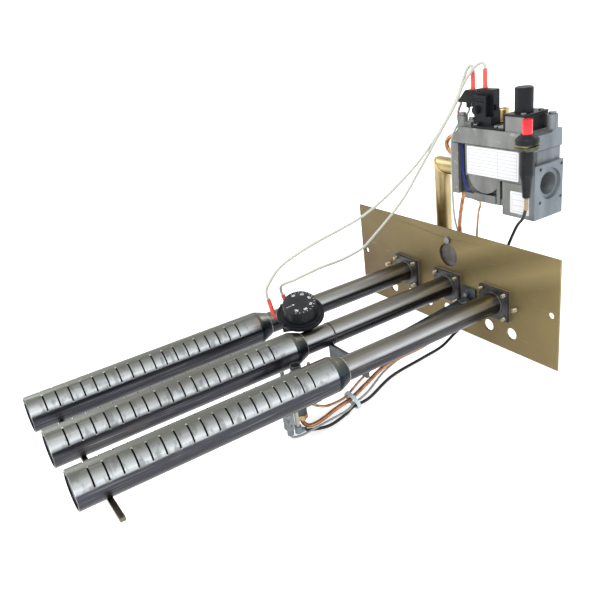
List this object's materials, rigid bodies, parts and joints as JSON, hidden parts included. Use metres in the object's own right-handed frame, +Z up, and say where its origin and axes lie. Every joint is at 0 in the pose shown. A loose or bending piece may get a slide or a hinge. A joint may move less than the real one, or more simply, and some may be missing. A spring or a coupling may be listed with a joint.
{
  "type": "boiler gas burner",
  "caption": "Atmospheric gas burner for a boiler: slotted burner heads on a mounting plate, with gas valve, pilot group, igniter and boiler thermostat.",
  "frame": {"origin": "middle of the two fixing holes, on the front face of the mounting plate", "axes": "+Y from the head tips through the plate to the gas valve, +X along the plate's width, +Z up"},
  "size_m": [0.286, 0.485, 0.2923],
  "materials": {
    "plate_steel": "yellow zinc plated steel, matt with soft streaks",
    "head_steel": "rolled stainless steel tube",
    "tube_steel": "bright drawn steel tube",
    "dark_steel": "dark oxidised steel",
    "zinc_steel": "zinc plated fasteners",
    "gasket": "compressed fibre",
    "die_cast": "blasted die-cast alloy",
    "brass": "dull brass",
    "copper": "dull copper pipe",
    "black_plastic": "moulded black plastic",
    "red_plastic": "moulded red plastic",
    "ceramic": "unglazed electrode ceramic",
    "boot": "blue grey rubber boot",
    "braid": "white glass fibre braid",
    "cable": "black ignition cable",
    "wire_sheath": "coloured wire sheaths",
    "tie": "pale nylon tie",
    "label": "blank satin label"
  },
  "bodies": {
    "burner": {"mounting_plate": "plate_steel", "burner_head_left": "head_steel", "burner_head_middle": "head_steel", "burner_head_right": "head_steel", "head_end_caps": "dark_steel", "tube_reducers": "dark_steel", "mixing_tube_left": "tube_steel", "mixing_tube_middle": "tube_steel", "mixing_tube_right": "tube_steel", "weld_beads": "dark_steel", "tube_flanges": "dark_steel", "flange_gaskets": "gasket", "flange_bolts": "zinc_steel", "head_support_bar": "dark_steel", "cross_strap": "dark_steel", "shutter_pivot": "zinc_steel", "pilot_support": "dark_steel", "pilot_support_bolts": "zinc_steel", "pilot_bracket": "dark_steel", "pilot_burner": "zinc_steel", "pilot_gas_nut": "brass", "flame_sensor": "zinc_steel", "thermocouple": "copper", "ignition_electrode": "ceramic", "electrode_boot": "boot", "pilot_gas_pipe": "copper", "thermocouple_lead": "copper", "sensor_lead": "tube_steel", "ignition_cable": "cable", "cable_tie": "tie", "gas_manifold": "plate_steel", "gas_injectors": "brass", "manifold_brackets": "plate_steel", "bracket_screws": "zinc_steel", "riser_pipe": "brass", "pipe_elbow": "brass", "valve_body": "die_cast", "valve_lid": "die_cast", "valve_cover": "black_plastic", "valve_screws": "zinc_steel", "regulator_cap": "brass", "valve_coil": "black_plastic", "terminal_block": "black_plastic", "terminal_sleeves": "red_plastic", "pilot_feed_loop": "copper", "valve_wires": "wire_sheath", "valve_labels": "label", "igniter_bracket": "plate_steel", "igniter_body": "black_plastic", "igniter_nut": "zinc_steel", "thermostat_body": "black_plastic", "thermostat_bezel": "black_plastic", "thermostat_terminals": "red_plastic", "thermostat_wire_a": "braid", "thermostat_wire_b": "braid"},
    "shutter": {"inspection_shutter": "head_steel"},
    "spindle": {"valve_spindle": "tube_steel"},
    "knob": {"valve_knob": "black_plastic"},
    "button": {"igniter_button": "red_plastic"},
    "dial": {"thermostat_dial": "black_plastic"}
  },
  "joints": [
    {"name": "shutter_swing", "type": "hinge", "parent": "burner", "child": "shutter", "pos_m": [0.0045, 0.003, 0.0441], "axis": [0, 1, 0], "range_deg": [-60, 60]},
    {"name": "knob_press", "type": "slide", "parent": "burner", "child": "spindle", "axis": [0, 0, -1], "range_m": [0, 0.004], "stiffness_N_per_m": 600},
    {"name": "knob_turn", "type": "hinge", "parent": "spindle", "child": "knob", "pos_m": [0.0713, 0.035, 0.18], "axis": [0, 0, 1], "range_deg": [0, 140]},
    {"name": "button_press", "type": "slide", "parent": "burner", "child": "button", "axis": [0, 0, -1], "range_m": [0, 0.005], "stiffness_N_per_m": 800},
    {"name": "dial_turn", "type": "hinge", "parent": "burner", "child": "dial", "pos_m": [-0.012, -0.1763, 0.018], "axis": [0.2962, -0.171, 0.9397], "range_deg": [0, 290]}
  ]
}
